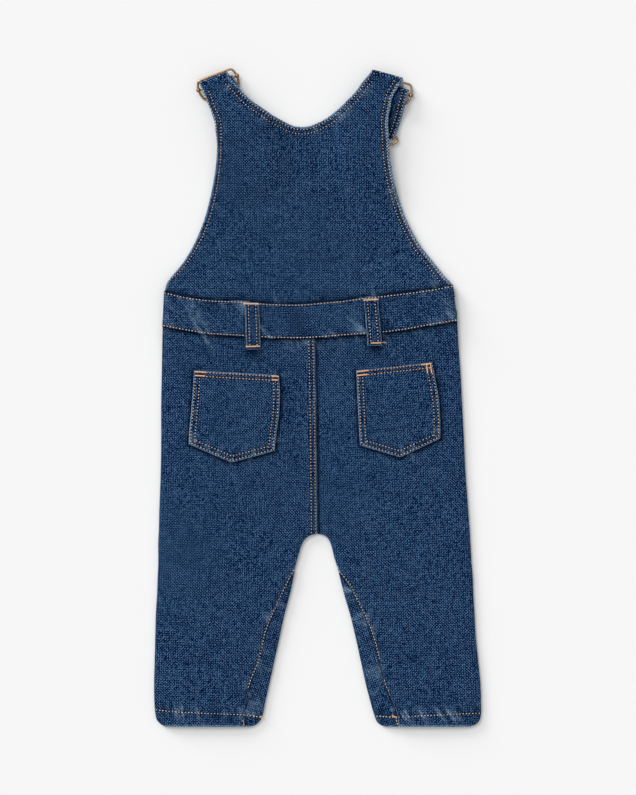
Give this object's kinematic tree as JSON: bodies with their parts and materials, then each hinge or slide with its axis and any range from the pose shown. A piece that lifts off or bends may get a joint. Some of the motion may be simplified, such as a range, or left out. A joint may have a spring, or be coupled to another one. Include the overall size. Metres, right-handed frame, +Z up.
{
  "type": "kids dungarees",
  "caption": "Child's denim dungarees laid flat with the back up: bib cut in one with folded straps, wire sliders and clips, waistband, belt loops, patch pockets, straight legs.",
  "frame": {"origin": "centre of the flat underside of the whole laid-out garment, on the surface that it lies on", "axes": "+Y from the hems up to the shoulders, +X towards the wearer's right side, which is on the viewer's right because the back faces up, +Z up through the cloth"},
  "size_m": [0.2782, 0.5595, 0.0094],
  "materials": {
    "denim": "mid-blue washed cotton twill, matt, tan topstitching, pale worn edges",
    "copper_metal": "antique copper plating on wire, satin"
  },
  "bodies": {
    "root": {"back_bib": "denim", "front_bib": "denim", "back_waistband": "denim", "front_waistband": "denim", "back_leg_left": "denim", "back_leg_right": "denim", "front_leg_left": "denim", "front_leg_right": "denim", "inseam_strip_left": "denim", "inseam_strip_right": "denim", "back_pocket_left": "denim", "back_pocket_right": "denim", "belt_loop_left": "denim", "belt_loop_right": "denim", "strap_left": "denim", "strap_right": "denim", "slider_left": "copper_metal", "slider_right": "copper_metal", "clip_left": "copper_metal", "clip_right": "copper_metal", "bib_button_left": "copper_metal", "bib_button_right": "copper_metal"}
  },
  "joints": []
}
